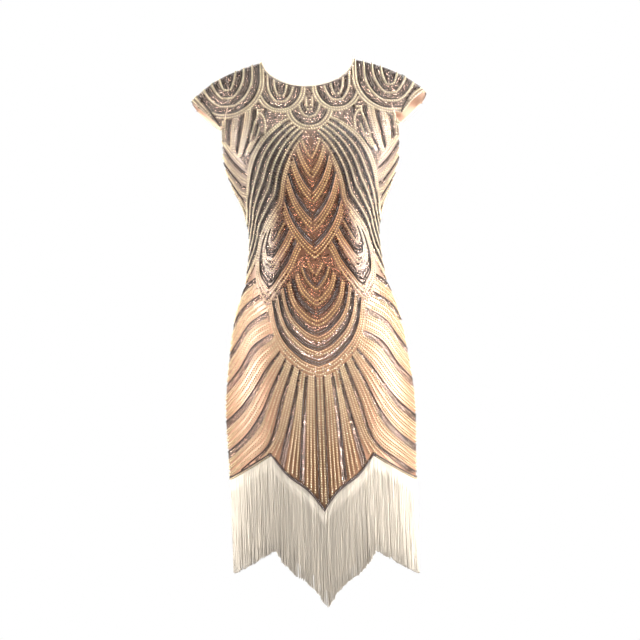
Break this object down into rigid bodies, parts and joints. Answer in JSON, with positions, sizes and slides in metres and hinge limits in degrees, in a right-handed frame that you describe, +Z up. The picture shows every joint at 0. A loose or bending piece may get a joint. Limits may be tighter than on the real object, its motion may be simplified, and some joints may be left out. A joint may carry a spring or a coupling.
{
  "type": "flapper dress",
  "caption": "Hollow, worn-form sheath dress of beaded nude net with a round neck, cap sleeves, a pointed hem and a long ivory fringe.",
  "frame": {"origin": "midway between the two neck points, where the shoulder seams meet the neckline, at the level from which the shoulders carry the dress", "axes": "+X to the wearer's left, the front faces -Y, +Z up; the dress hangs in -Z"},
  "size_m": [0.4504, 0.2389, 1.0395],
  "materials": {
    "beaded_net": "nude net covered in sequins, bugle beads and seed beads",
    "beaded_net_back": "the same beaded net, back panel",
    "cap_sleeve": "beaded net with a bare nude inner side",
    "neck_beads": "bias binding edged with cream seed bead loops",
    "hem_beads": "narrow band of bronze and cream beads",
    "fringe_yarn": "satin rayon chainette, ivory"
  },
  "bodies": {
    "root": {"front_panel": "beaded_net", "back_panel": "beaded_net_back", "cap_sleeve_left": "cap_sleeve", "cap_sleeve_right": "cap_sleeve", "neck_binding": "neck_beads", "hem_band_front": "hem_beads", "hem_band_back": "hem_beads", "fringe_front": "fringe_yarn", "fringe_back": "fringe_yarn"}
  },
  "joints": []
}
